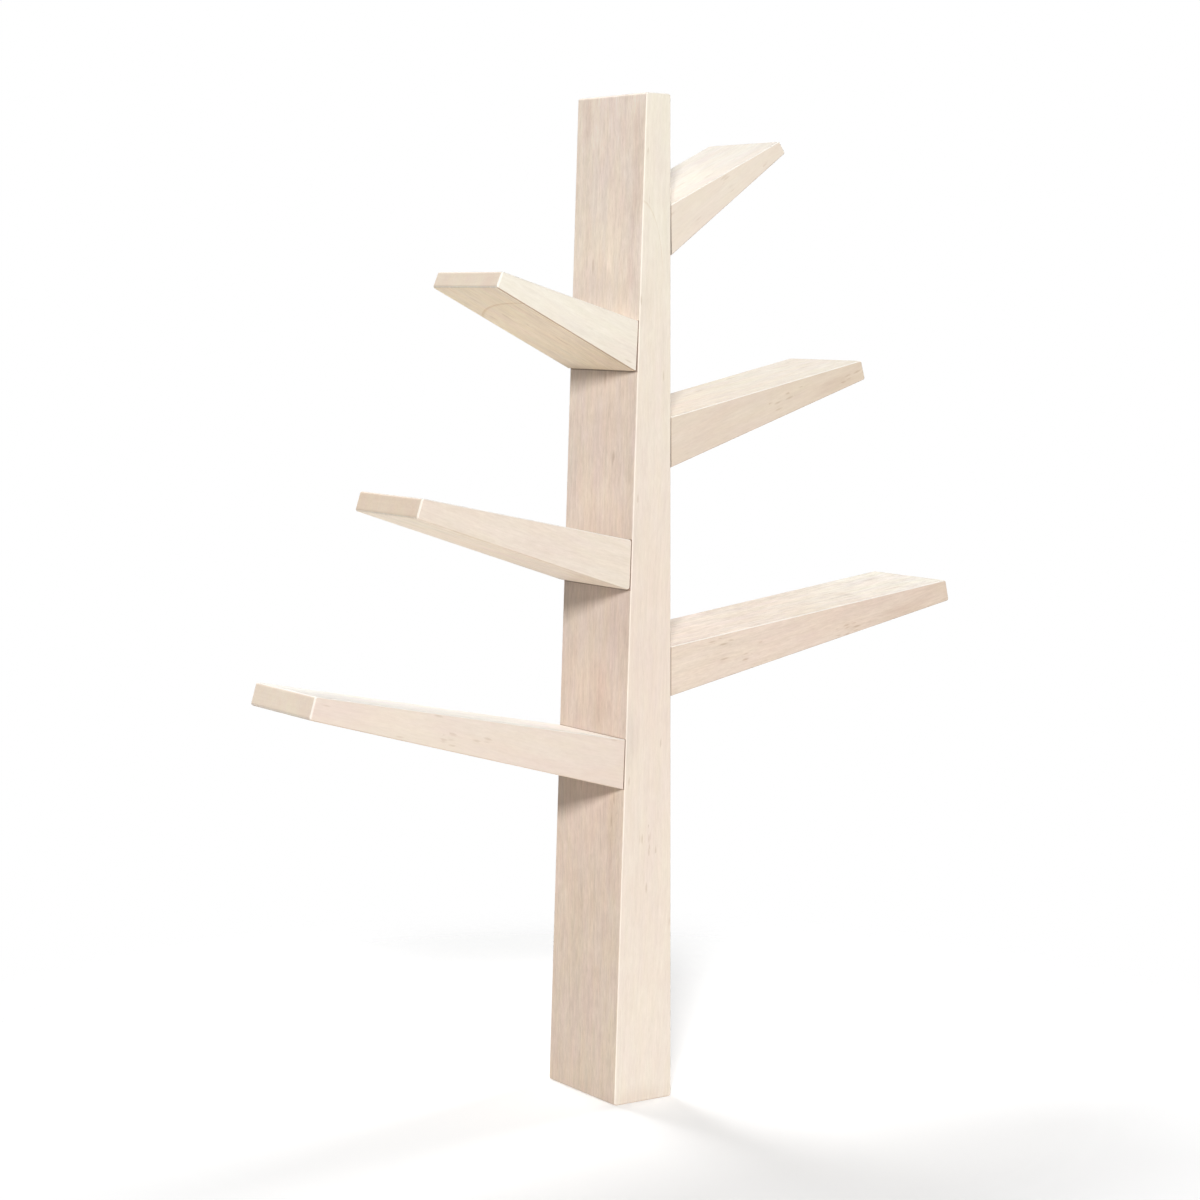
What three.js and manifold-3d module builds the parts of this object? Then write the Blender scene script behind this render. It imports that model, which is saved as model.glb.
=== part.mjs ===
// Tree shaped bookshelf: a tapered trunk carries six rising wedge-shaped branches that serve as shelves.
// Millimetres. X runs to the right, Y to the wall behind, Z up. The origin is the centre of the trunk's foot.
import * as THREE from "three";
import { mergeVertices } from "three/addons/utils/BufferGeometryUtils.js";
import Module from "manifold-3d";

const wasm = await Module();
wasm.setup();

// Trunk
const trunkHeight = 1100;
const trunkTopWidth = 32;
const trunkFootWidth = 77;
const trunkDepth = 129;

// Branches: rootFromTop is how far the upper root edge lies below the trunk's top, reach the distance of the
// upper tip edge from the trunk's centreline, rise its height above the root's. The tip's lower edge lies
// tipHeight below it and tipOverhang further out. rootOpening is how much the joint opens at the root's foot.
const branchRootHeight = 55;
const branchSetback = 1.5;
const rightTop = {
  rootFromTop: 118,
  reach: 167,
  rise: 75,
  tipHeight: 12.5,
  tipOverhang: 8.5,
  rootOpening: 1.2,
};
const leftTop = {
  rootFromTop: 242,
  reach: 195,
  rise: 49.5,
  tipHeight: 17,
  tipOverhang: 7,
  rootOpening: 1.2,
};
const rightMiddle = {
  rootFromTop: 345.5,
  reach: 292,
  rise: 62,
  tipHeight: 21,
  tipOverhang: 6.5,
  rootOpening: 0.4,
};
const leftMiddle = {
  rootFromTop: 477,
  reach: 289.5,
  rise: 52,
  tipHeight: 21,
  tipOverhang: 6.5,
  rootOpening: 0.4,
};
const rightBottom = {
  rootFromTop: 596,
  reach: 429,
  rise: 56,
  tipHeight: 24,
  tipOverhang: 6,
  rootOpening: 0.1,
};
const leftBottom = {
  rootFromTop: 694,
  reach: 413,
  rise: 73,
  tipHeight: 24,
  tipOverhang: 7,
  rootOpening: 0.2,
};

// Eased edges of the wooden pieces: the corners of their outlines, and the edges round their faces
const outlineCornerRadius = 3;
const edgeRadius = 1.5;

// Clearances and cuts
const jointGap = 0.3;
const fitGap = 0.3;
const cutOverrun = 2;

// Dowels, two in each joint
const dowelDiameter = 10;
const dowelLength = 50;
const dowelChamfer = 1;
const dowelFromFront = 26;
const dowelPitch = 45;

// Hanger bolt, washer and nut of each joint
const boltDiameter = 8;
const boltInTrunk = 28;
const boltBeyondNut = 5;
const boltChamfer = 1;
const boltFromBack = 22;
const washerDiameter = 16;
const washerThickness = 1.6;
const nutAcrossFlats = 13;
const nutThickness = 6.5;
const nutChamfer = 0.8;

// Pocket in each branch's back face, where a spanner reaches the nut
const pocketEndWall = 20;
const pocketLength = 30;
const pocketSkin = 8;
const pocketPastBolt = 12;
const pocketCornerRadius = 3;

// Keyhole hanger plates let into the trunk's back, and the space that each keeps for a wall screw's head
const plateWidth = 20;
const plateLength = 60;
const plateThickness = 2;
const plateSink = 0.3;
const upperPlateFromTop = 62;
const lowerPlateHeight = 240;
const keyholeEntryDiameter = 11;
const keyholeSlotWidth = 5;
const keyholeSlotLength = 13;
const headSpaceWidth = 13;
const headSpaceDepth = 7;

// Countersunk screws of the plates
const screwFromPlateEnd = 8;
const screwHeadDiameter = 7;
const screwHeadHeight = 1.8;
const screwShankDiameter = 3.5;
const screwLength = 16;
const screwPoint = 3;
const screwRecessWidth = 1;
const screwRecessSpan = 4;
const screwRecessDepth = 1.2;

// Facets of the round shapes
const roundFacets = 16;
const edgeFacets = 3;
const cornerFacetPairs = 2;

const frontY = -trunkDepth / 2;
const backY = trunkDepth / 2;
const branchFrontY = frontY + branchSetback;
const boltY = backY - boltFromBack;
const dowelYs = { front: branchFrontY + dowelFromFront, rear: branchFrontY + dowelFromFront + dowelPitch };

const pocketWallX = jointGap + pocketEndWall;
const washerX = pocketWallX + fitGap;
const nutX = washerX + washerThickness + fitGap;
const boltEndX = nutX + nutThickness + boltBeyondNut;

const plateOuterY = backY - plateSink;
const plateInnerY = plateOuterY - plateThickness;
const plateHeights = { upper: trunkHeight - upperPlateFromTop, lower: lowerPlateHeight };
const keyholeEntryZ = -keyholeSlotLength / 2;
const screwOffset = plateLength / 2 - screwFromPlateEnd;

// Materials

const wood = new THREE.MeshStandardMaterial({ color: 0xeee1d0, roughness: 0.62, metalness: 0 });
const shadedWood = new THREE.MeshStandardMaterial({ color: 0xe9dac6, roughness: 0.62, metalness: 0 });
const dowelWood = new THREE.MeshStandardMaterial({ color: 0xd9bb8d, roughness: 0.7, metalness: 0 });
const zincSteel = new THREE.MeshStandardMaterial({ color: 0xb9bcc0, roughness: 0.35, metalness: 1 });

// Shapes

// A closed outline whose corners, given anticlockwise, are all rounded to one radius.
function roundedOutline(corners, radius) {
  const outline = new THREE.Shape();
  corners.forEach((corner, index) => {
    const before = corners.at(index - 1);
    const after = corners[(index + 1) % corners.length];
    const towardsBefore = before.clone().sub(corner).normalize();
    const towardsAfter = after.clone().sub(corner).normalize();
    const inwards = towardsBefore.clone().add(towardsAfter).normalize();
    const halfAngle = towardsBefore.angleTo(towardsAfter) / 2;
    const centre = corner.clone().addScaledVector(inwards, radius / Math.sin(halfAngle));
    const outFromBefore = new THREE.Vector2(-towardsBefore.y, towardsBefore.x);
    const outFromAfter = new THREE.Vector2(towardsAfter.y, -towardsAfter.x);
    outline.absarc(centre.x, centre.y, radius, outFromBefore.angle(), outFromAfter.angle(), false);
  });
  return outline;
}

// A panel with the outline in its XZ plane, centred on Y, its edges rounded on both faces.
function easedPanel(outline, thickness, radius) {
  const geometry = new THREE.ExtrudeGeometry(outline, {
    depth: thickness - 2 * radius,
    bevelThickness: radius,
    bevelSize: radius,
    bevelOffset: -radius,
    bevelSegments: edgeFacets,
    curveSegments: cornerFacetPairs,
  });
  geometry.translate(0, 0, radius - thickness / 2);
  return geometry.rotateX(Math.PI / 2);
}

// A sharp-edged panel with the outline in its XZ plane, from one Y to another.
function plainPanel(outline, fromY, toY) {
  const geometry = new THREE.ExtrudeGeometry(outline, {
    depth: toY - fromY,
    bevelEnabled: false,
    curveSegments: roundFacets / 4,
  });
  geometry.rotateX(Math.PI / 2);
  return geometry.translate(0, toY, 0);
}

// A round piece turned from a profile of (radius, distance along the axis) points, with its axis along X.
function turned(profile) {
  const points = profile.map(([radius, along]) => new THREE.Vector2(radius, along));
  return new THREE.LatheGeometry(points, roundFacets).rotateZ(-Math.PI / 2);
}

// A plain round rod along X, from one X to another.
function rod(diameter, fromX, toX) {
  const radius = diameter / 2;
  return turned([
    [0, fromX],
    [radius, fromX],
    [radius, toX],
    [0, toX],
  ]);
}

// Booleans

function solidFrom(geometry) {
  const bare = geometry.clone();
  bare.deleteAttribute("normal");
  bare.deleteAttribute("uv");
  const merged = mergeVertices(bare);
  const vertProperties = merged.getAttribute("position").array;
  const triVerts = new Uint32Array(merged.getIndex().array);
  return new wasm.Manifold(new wasm.Mesh({ numProp: 3, vertProperties, triVerts }));
}

function geometryFrom(solid) {
  const { vertProperties, triVerts } = solid.getMesh();
  const indexed = new THREE.BufferGeometry();
  indexed.setAttribute("position", new THREE.BufferAttribute(vertProperties, 3));
  indexed.setIndex(new THREE.BufferAttribute(triVerts, 1));
  const geometry = indexed.toNonIndexed();
  geometry.computeVertexNormals();
  return geometry;
}

function cutAway(geometry, cutters) {
  const solid = cutters.reduce((rest, cutter) => rest.subtract(solidFrom(cutter)), solidFrom(geometry));
  return geometryFrom(solid);
}

function namedMesh(name, geometry, material) {
  const mesh = new THREE.Mesh(geometry, material);
  mesh.name = name;
  return mesh;
}

// Joint frames: each branch has a frame on the trunk's tapered side, at the foot of its root. Its X runs out
// of the trunk, its Z up along the side, and its Y to the wall on the right and to the front on the left.

function trunkHalfWidthAt(height) {
  const topHalf = trunkTopWidth / 2;
  const footHalf = trunkFootWidth / 2;
  return footHalf + ((topHalf - footHalf) * height) / trunkHeight;
}

// The point of the trunk's side at a height, on the side that the branch grows from.
function trunkSidePoint(branch, height) {
  return new THREE.Vector3(branch.side * trunkHalfWidthAt(height), 0, height);
}

function rootTopHeight(branch) {
  return trunkHeight - branch.rootFromTop;
}

function jointFrame(branch) {
  const foot = trunkSidePoint(branch, rootTopHeight(branch) - branchRootHeight);
  const top = trunkSidePoint(branch, rootTopHeight(branch));
  const up = top.sub(foot).normalize();
  const back = new THREE.Vector3(0, branch.side, 0);
  const out = back.clone().cross(up);
  return new THREE.Matrix4().makeBasis(out, back, up).setPosition(foot);
}

// The branch's four outline corners in its joint frame, anticlockwise from the foot of the root.
function branchCorners(branch) {
  const toJoint = jointFrame(branch).invert();
  const tipTopZ = rootTopHeight(branch) + branch.rise;
  const rootTop = trunkSidePoint(branch, rootTopHeight(branch));
  const tipTop = new THREE.Vector3(branch.side * branch.reach, 0, tipTopZ);
  const tipFootX = branch.side * (branch.reach + branch.tipOverhang);
  const tipFoot = new THREE.Vector3(tipFootX, 0, tipTopZ - branch.tipHeight);
  const [rootHigh, tipHigh, tipLow] = [rootTop, tipTop, tipFoot].map((corner) => {
    const local = corner.applyMatrix4(toJoint);
    return new THREE.Vector2(local.x, local.z);
  });
  const rootLow = new THREE.Vector2(0, 0);
  return { rootLow, tipLow, tipHigh, rootHigh };
}

// The line through two corners, as its slope and its height at a distance from the joint.
function edgeLine(start, end) {
  const slope = (end.y - start.y) / (end.x - start.x);
  return { slope, heightAt: (x) => start.y + slope * (x - start.x) };
}

function branchEdges(branch) {
  const { rootLow, tipLow, tipHigh, rootHigh } = branchCorners(branch);
  return { lower: edgeLine(rootLow, tipLow), upper: edgeLine(rootHigh, tipHigh) };
}

// The joint's hardware lies level with the middle of the branch where the nut pulls on it.
function hardwareHeight(branch) {
  const { lower, upper } = branchEdges(branch);
  return (lower.heightAt(pocketWallX) + upper.heightAt(pocketWallX)) / 2;
}

// The joint's bores, each as long on either side of the joint as its piece needs
function jointBores(branch) {
  const height = hardwareHeight(branch);
  const dowelReach = dowelLength / 2 + fitGap;
  const dowelBores = Object.values(dowelYs).map((y) =>
    rod(dowelDiameter + 2 * fitGap, -dowelReach, dowelReach).translate(0, branch.side * y, height),
  );
  const boltBore = rod(boltDiameter + 2 * fitGap, -boltInTrunk - fitGap, pocketWallX + cutOverrun);
  return [...dowelBores, boltBore.translate(0, branch.side * boltY, height)];
}

// Branches

// The pocket keeps one skin thickness to the branch's upper and lower faces.
function spannerPocket(branch) {
  const { lower, upper } = branchEdges(branch);
  const nearX = pocketWallX;
  const farX = pocketWallX + pocketLength;
  const lowerSkin = pocketSkin * Math.hypot(1, lower.slope);
  const upperSkin = pocketSkin * Math.hypot(1, upper.slope);
  const corners = [
    new THREE.Vector2(nearX, lower.heightAt(nearX) + lowerSkin),
    new THREE.Vector2(farX, lower.heightAt(farX) + lowerSkin),
    new THREE.Vector2(farX, upper.heightAt(farX) - upperSkin),
    new THREE.Vector2(nearX, upper.heightAt(nearX) - upperSkin),
  ];
  const floorY = branch.side * (boltY - pocketPastBolt);
  const mouthY = branch.side * (backY + cutOverrun);
  const outline = roundedOutline(corners, pocketCornerRadius);
  return plainPanel(outline, Math.min(floorY, mouthY), Math.max(floorY, mouthY));
}

function branchMesh(branch) {
  const { tipLow, tipHigh } = branchCorners(branch);
  const { lower, upper } = branchEdges(branch);
  const rootLowX = jointGap + branch.rootOpening;
  const corners = [
    new THREE.Vector2(rootLowX, lower.heightAt(rootLowX)),
    tipLow,
    tipHigh,
    new THREE.Vector2(jointGap, upper.heightAt(jointGap)),
  ];
  const panel = easedPanel(roundedOutline(corners, outlineCornerRadius), backY - branchFrontY, edgeRadius);
  panel.translate(0, (branch.side * (backY + branchFrontY)) / 2, 0);
  const geometry = cutAway(panel, [spannerPocket(branch), ...jointBores(branch)]);
  return namedMesh(`branch_${branch.name}`, geometry, branch.side > 0 ? wood : shadedWood);
}

// Joint hardware

function dowelGeometry() {
  const radius = dowelDiameter / 2;
  const halfLength = dowelLength / 2;
  return turned([
    [0, -halfLength],
    [radius - dowelChamfer, -halfLength],
    [radius, dowelChamfer - halfLength],
    [radius, halfLength - dowelChamfer],
    [radius - dowelChamfer, halfLength],
    [0, halfLength],
  ]);
}

function hangerBoltGeometry() {
  const radius = boltDiameter / 2;
  return turned([
    [0, -boltInTrunk],
    [radius, radius - boltInTrunk],
    [radius, boltEndX - boltChamfer],
    [radius - boltChamfer, boltEndX],
    [0, boltEndX],
  ]);
}

function washerGeometry() {
  const boreRadius = boltDiameter / 2 + fitGap;
  const radius = washerDiameter / 2;
  return turned([
    [boreRadius, washerX],
    [radius, washerX],
    [radius, washerX + washerThickness],
    [boreRadius, washerX + washerThickness],
    [boreRadius, washerX],
  ]);
}

// A hexagon with its corners turned off to a cone on both faces.
function nutGeometry() {
  const cornerRadius = nutAcrossFlats / 2 / Math.cos(Math.PI / 6);
  const prism = new THREE.CylinderGeometry(cornerRadius, cornerRadius, nutThickness, 6);
  prism.rotateZ(-Math.PI / 2).translate(nutX + nutThickness / 2, 0, 0);
  const crown = turned([
    [0, nutX],
    [nutAcrossFlats / 2, nutX],
    [cornerRadius, nutX + nutChamfer],
    [cornerRadius, nutX + nutThickness - nutChamfer],
    [nutAcrossFlats / 2, nutX + nutThickness],
    [0, nutX + nutThickness],
  ]);
  const bore = rod(boltDiameter + 2 * fitGap, nutX - cutOverrun, nutX + nutThickness + cutOverrun);
  return geometryFrom(solidFrom(prism).intersect(solidFrom(crown)).subtract(solidFrom(bore)));
}

function jointHardware(branch) {
  const height = hardwareHeight(branch);
  const dowels = Object.entries(dowelYs).map(([place, y]) => {
    const dowel = namedMesh(`dowel_${place}_${branch.name}`, dowelGeometry(), dowelWood);
    dowel.position.set(0, branch.side * y, height);
    return dowel;
  });
  const steel = [
    namedMesh(`hanger_bolt_${branch.name}`, hangerBoltGeometry(), zincSteel),
    namedMesh(`washer_${branch.name}`, washerGeometry(), zincSteel),
    namedMesh(`nut_${branch.name}`, nutGeometry(), zincSteel),
  ];
  steel.forEach((piece) => piece.position.set(0, branch.side * boltY, height));
  return [...dowels, ...steel];
}

function branchWithHardware(branch) {
  const group = new THREE.Group();
  group.applyMatrix4(jointFrame(branch));
  group.add(branchMesh(branch), ...jointHardware(branch));
  return group;
}

// Keyhole plates, each made about its own centre with its outer face at the height of the trunk's back

function capsule(width, length) {
  const radius = width / 2;
  const straight = length / 2 - radius;
  const outline = new THREE.Shape();
  outline.absarc(0, straight, radius, 0, Math.PI, false);
  outline.absarc(0, -straight, radius, Math.PI, 2 * Math.PI, false);
  return outline;
}

// A round entry for the wall screw's head with a narrow slot above it for the screw's neck.
function keyholeCutter() {
  const entryRadius = keyholeEntryDiameter / 2;
  const slotRadius = keyholeSlotWidth / 2;
  const slotTopZ = keyholeEntryZ + keyholeSlotLength;
  const meeting = Math.asin(slotRadius / entryRadius);
  const outline = new THREE.Shape();
  outline.absarc(0, keyholeEntryZ, entryRadius, Math.PI / 2 + meeting, 1.5 * Math.PI, false);
  outline.absarc(0, keyholeEntryZ, entryRadius, 1.5 * Math.PI, 2.5 * Math.PI - meeting, false);
  outline.absarc(0, slotTopZ, slotRadius, 0, Math.PI, false);
  return plainPanel(outline, plateInnerY - cutOverrun, plateOuterY + cutOverrun);
}

function screwHoleCutter(z) {
  const headRadius = screwHeadDiameter / 2 + fitGap;
  const shankRadius = screwShankDiameter / 2 + fitGap;
  const hole = turned([
    [0, -screwLength - fitGap],
    [shankRadius, -screwLength - fitGap],
    [shankRadius, -screwHeadHeight],
    [headRadius, 0],
    [headRadius, cutOverrun],
    [0, cutOverrun],
  ]);
  return hole.rotateZ(Math.PI / 2).translate(0, plateOuterY, z);
}

function plateMesh(place) {
  const blank = plainPanel(capsule(plateWidth, plateLength), plateInnerY, plateOuterY);
  const cutters = [keyholeCutter(), screwHoleCutter(screwOffset), screwHoleCutter(-screwOffset)];
  return namedMesh(`keyhole_plate_${place}`, cutAway(blank, cutters), zincSteel);
}

function screwMesh(name, z) {
  const headRadius = screwHeadDiameter / 2;
  const shankRadius = screwShankDiameter / 2;
  const body = turned([
    [0, -screwLength],
    [shankRadius, screwPoint - screwLength],
    [shankRadius, -screwHeadHeight],
    [headRadius, 0],
    [0, 0],
  ]);
  const recesses = [
    [screwRecessSpan, screwRecessWidth],
    [screwRecessWidth, screwRecessSpan],
  ].map(([width, height]) => new THREE.BoxGeometry(2 * screwRecessDepth, width, height));
  const mesh = namedMesh(name, cutAway(body, recesses), zincSteel);
  mesh.rotation.z = Math.PI / 2;
  mesh.position.set(0, plateOuterY, z);
  return mesh;
}

function plateWithScrews(place) {
  const group = new THREE.Group();
  group.position.z = plateHeights[place];
  group.add(
    plateMesh(place),
    screwMesh(`plate_screw_high_${place}`, screwOffset),
    screwMesh(`plate_screw_low_${place}`, -screwOffset),
  );
  return group;
}

// Trunk

// What each plate needs in the trunk's back: its own recess, the screw holes, and room for a wall screw's head
function plateRecesses(place) {
  const recess = capsule(plateWidth + 2 * fitGap, plateLength + 2 * fitGap);
  const headSpace = capsule(headSpaceWidth, keyholeSlotLength + headSpaceWidth);
  const recessFloorY = plateInnerY - fitGap;
  const cutters = [
    plainPanel(recess, recessFloorY, backY + cutOverrun),
    plainPanel(headSpace, recessFloorY - headSpaceDepth, backY + cutOverrun),
    screwHoleCutter(screwOffset),
    screwHoleCutter(-screwOffset),
  ];
  return cutters.map((cutter) => cutter.translate(0, 0, plateHeights[place]));
}

function trunkMesh(branches) {
  const corners = [
    new THREE.Vector2(-trunkHalfWidthAt(0), 0),
    new THREE.Vector2(trunkHalfWidthAt(0), 0),
    new THREE.Vector2(trunkHalfWidthAt(trunkHeight), trunkHeight),
    new THREE.Vector2(-trunkHalfWidthAt(trunkHeight), trunkHeight),
  ];
  const panel = easedPanel(roundedOutline(corners, outlineCornerRadius), trunkDepth, edgeRadius);
  const bores = branches.flatMap((branch) =>
    jointBores(branch).map((bore) => bore.applyMatrix4(jointFrame(branch))),
  );
  const recesses = Object.keys(plateHeights).flatMap(plateRecesses);
  return namedMesh("trunk", cutAway(panel, [...bores, ...recesses]), wood);
}

const branches = [
  { name: "right_top", side: 1, ...rightTop },
  { name: "left_top", side: -1, ...leftTop },
  { name: "right_middle", side: 1, ...rightMiddle },
  { name: "left_middle", side: -1, ...leftMiddle },
  { name: "right_bottom", side: 1, ...rightBottom },
  { name: "left_bottom", side: -1, ...leftBottom },
];

const bookshelf = new THREE.Group();
bookshelf.add(
  trunkMesh(branches),
  ...branches.map(branchWithHardware),
  ...Object.keys(plateHeights).map(plateWithScrews),
);

export default bookshelf;
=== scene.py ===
# Looks of the tree shaped bookshelf: pale washed pine boards, fluted dowels and zinc-plated steel hardware.
# Metres. X runs to the right, Y to the wall behind, Z up. The origin is the centre of the trunk's foot.
import math
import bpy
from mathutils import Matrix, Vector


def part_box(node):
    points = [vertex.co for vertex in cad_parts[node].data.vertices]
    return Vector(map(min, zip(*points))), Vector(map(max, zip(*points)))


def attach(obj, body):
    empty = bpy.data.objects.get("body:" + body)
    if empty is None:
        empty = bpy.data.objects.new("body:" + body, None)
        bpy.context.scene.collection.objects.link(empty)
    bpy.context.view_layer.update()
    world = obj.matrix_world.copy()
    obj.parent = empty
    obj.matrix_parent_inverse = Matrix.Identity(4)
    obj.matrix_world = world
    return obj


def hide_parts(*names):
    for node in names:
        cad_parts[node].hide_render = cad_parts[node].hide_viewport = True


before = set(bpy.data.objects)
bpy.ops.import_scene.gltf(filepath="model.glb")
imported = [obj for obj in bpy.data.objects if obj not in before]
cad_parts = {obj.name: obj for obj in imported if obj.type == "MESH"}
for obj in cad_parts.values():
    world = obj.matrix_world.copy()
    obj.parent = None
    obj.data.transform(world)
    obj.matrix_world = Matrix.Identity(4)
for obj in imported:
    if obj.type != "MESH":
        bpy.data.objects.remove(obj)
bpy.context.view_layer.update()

from types import SimpleNamespace

import bmesh
import bpy
import numpy as np
from mathutils import Matrix, Vector

# The photograph's frame, and the camera that its straight edges give
photo_size_px = 1200
focal_length_px = 2783.98
sensor_width_mm = 36
camera_place = Vector((-1.76742, -2.49550, 0.86650))
camera_yaw = math.radians(34.9661)
camera_pitch = math.radians(5.8975)
camera_roll = math.radians(-0.8014)

# Wooden boards: the radius of their outlines' corners, the easing of their edges, and how finely both are
# made. Branches are rounder at the tip and sharper at the root, where they meet the trunk.
outline_radius = 0.003
root_radii = {"branch_left_top": 0.0014, "branch_left_middle": 0.003}
plain_root_radius = 0.0006
edge_easing = 0.0015
tip_easing = 0.0026
root_easing = 0.0004
corner_steps = 10
easing_steps = 6
round_steps = 48
sharp_angle = math.radians(32)

# Meshes: the decimals that tell CAD points apart, the turn below which an outline runs straight on, and the
# lengths below which points are merged and edges are dropped
point_decimals = 7
straight_turn = 4e-7
merge_distance = 1e-7
shortest_edge = 1e-8

# Clearances round the hardware, and how far the cuts run past a face
fit_gap = 0.0003
cut_overrun = 0.002

# Pockets in the branches' backs: how far their floors lie in front of the bolts, how near to a floor a CAD
# point is one of it, and the radius of their corners
pocket_past_bolt = 0.012
pocket_floor_reach = fit_gap / 3
pocket_corner_radius = 0.003

# Machine and wood thread of the hanger bolts, thread of the small screws
bolt_radius = 0.004
machine_pitch = 0.00125
machine_depth = 0.00055
wood_pitch = 0.003
wood_depth = 0.0009
wood_thread_length = 0.028
tip_share = 0.08
bolt_chamfer = 0.0008
screw_pitch = 0.0013
screw_depth = 0.0004
thread_steps_per_turn = 8
thread_angles = 32

# Nuts and washers
nut_across_flats = 0.013
nut_corner_chamfer = 0.0008
nut_bore_chamfer = 0.0005
nut_steps = 72
bore_radius = bolt_radius + fit_gap
washer_rounding = 0.0002

# Keyhole plates and their screws
plate_edge = 0.0003
keyhole_entry_radius = 0.0055
keyhole_slot_radius = 0.0025
keyhole_slot_length = 0.013
head_space_width = 0.013
head_space_depth = 0.007
screw_head_radius = 0.0035
screw_head_height = 0.0018
screw_head_dome = 0.00015
screw_dome_share = 0.7
screw_shank_radius = 0.00175
screw_point = 0.003
recess_span = 0.004
recess_width = 0.001
recess_depth = 0.0012
recess_floor_share = 0.55

# Dowels
dowel_chamfer = 0.001
flute_count = 12
flute_depth = 0.00035
flute_steps = 6

# Stage. The floor fades between two distances from the foot, and what it throws back is darker than what is
# seen of it. Lamps: name, azimuth and elevation in degrees, power, width, height, and whether gloss shows
# them. The lamp below shines up through the floor, which casts no shadow.
floor_size = 24
floor_under_foot = 0.004
floor_fade_start = 0.45
floor_fade_end = 0.95
floor_bounce_color = (0.22, 0.215, 0.20, 1)
floor_seen_color = (0.90, 0.90, 0.90, 1)
floor_glow = 0.14
sky_strength = 0.14
lamp_distance = 15.0
lamps = (
    ("lamp_left", -39, 24, 1900, 1.9, 1.9, True),
    ("lamp_over", 180, 50, 900, 5.0, 5.0, True),
    ("lamp_behind", 180, 10, 700, 5.0, 5.0, False),
    ("lamp_right", 100, 20, 950, 4.0, 4.0, True),
    ("lamp_below", 0, -52, 1230, 3.0, 3.0, False),
)

joints = ("right_top", "left_top", "right_middle", "left_middle", "right_bottom", "left_bottom")
plates = ("upper", "lower")

# Directions
front, back = Vector((0, -1, 0)), Vector((0, 1, 0))
above, below = Vector((0, 0, 1)), Vector((0, 0, -1))
left, right = Vector((-1, 0, 0)), Vector((1, 0, 0))

# Tones of the boards: face, long side, underside and end grain, each as one sRGB colour or as some from the
# foot or root to the tip. They are fitted to how bright each side shows under these lamps, so besides the
# wood's own colour they hold painted light and shade: the undersides of the top and middle left branches and
# the tops of the middle and bottom right branches darker towards the root, and the trunk's long side darker
# round its middle. Then how strong the figure is, and how dark the painted shade where an edge turns under.
plain_under, plain_end = ((232, 218, 203),), ((226, 210, 192),)
tones = {
    "trunk": (((231, 219, 206), (226, 212, 199), (229, 222, 208)),
              ((245, 225, 206), (243, 223, 206), (220, 203, 191), (239, 224, 211), (252, 236, 222)),
              ((236, 217, 201),), plain_end),
    "branch_right_top": (((225, 214, 200),), ((226, 219, 208),), plain_under, plain_end),
    "branch_left_top": (((228, 220, 208), (232, 226, 213)), ((236, 229, 217),),
                        ((220, 204, 182), (251, 234, 207), (251, 233, 208)), ((236, 220, 202),)),
    "branch_right_middle": (((216, 201, 186), (216, 202, 186), (213, 197, 179)),
                            ((216, 205, 192), (222, 213, 199), (230, 222, 210)), plain_under, plain_end),
    "branch_left_middle": (((225, 213, 200), (224, 210, 197)), ((236, 226, 214),),
                           ((221, 207, 191), (239, 222, 203), (247, 232, 214)), ((235, 216, 196),)),
    "branch_right_bottom": (((222, 206, 191), (220, 202, 188), (213, 195, 179)),
                            ((220, 207, 196), (224, 212, 199), (239, 233, 222)), plain_under, plain_end),
    "branch_left_bottom": (((222, 206, 194), (225, 212, 199), (225, 210, 198)), ((248, 244, 238),),
                           ((252, 236, 219), (226, 207, 186)), ((245, 229, 211),)),
}
figures = {
    "trunk": 0.85,
    "branch_right_top": 0.6,
    "branch_left_top": 0.95,
    "branch_right_middle": 0.9,
    "branch_right_bottom": 1.5,
    "branch_left_bottom": 0.7,
}
plain_figure = 1.0
# How dark the painted shade in brown is where an edge turns under, for each board
edge_lines = {"branch_left_top": 0.75}
plain_edge_line = 0.28

# The wood's figure: layers of noise with their features per metre along and across the grain and into the
# depth, their detail, roughness and seed. Some follow the fibres, which wander over a width of fibre_wander.
# Rosy layers come with the two values between which they turn rosy, and with their share of it.
figure_layers = {
    "sway": ((2.4, 6, 6), 1.0, 0.5, 0),
    "drift": ((1.8, 5, 5), 1.0, 0.5, 31),
    "cloud": ((7, 22, 22), 3.0, 0.55, 17),
    "patch": ((26, 42, 42), 2.0, 0.6, 29),
    "honey": ((16, 60, 60), 2.0, 0.6, 47),
    "mottle": ((45, 75, 75), 3.0, 0.65, 13),
    "blotch": ((30, 60, 60), 3.0, 0.6, 53),
    "rings": ((10, 330, 16), 2.0, 0.5, 43),
    "gather": ((10, 34, 34), 2.0, 0.5, 19),
    "patchy": ((60, 60, 60), 2.0, 0.5, 41),
    "streak": ((5, 110, 110), 4.0, 0.62, 3),
    "fibre": ((15, 240, 240), 3.0, 0.62, 5),
    "pores": ((80, 480, 480), 2.0, 0.6, 11),
    "hair": ((300, 1900, 1900), 1.0, 0.5, 37),
}
fibre_layers = ("streak", "fibre", "pores", "hair")
fibre_wander = 0.04
grain_strengths = (("mottle", 0.07), ("streak", 0.08), ("fibre", 0.16), ("pores", 0.17), ("hair", 0.08))
side_strengths = {"blotch": 0.14, "rings": 0.10}
rosy_layers = (("cloud", 0.36, 0.64, 0.40), ("patch", 0.34, 0.66, 0.35), ("streak", 0.38, 0.62, 0.25))
face_fleck_stretch, side_fleck_stretch = (75, 360, 360), (48, 210, 210)
fleck_seed = 23
seed_shares = (1.0, 1.7, 2.3)

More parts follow.
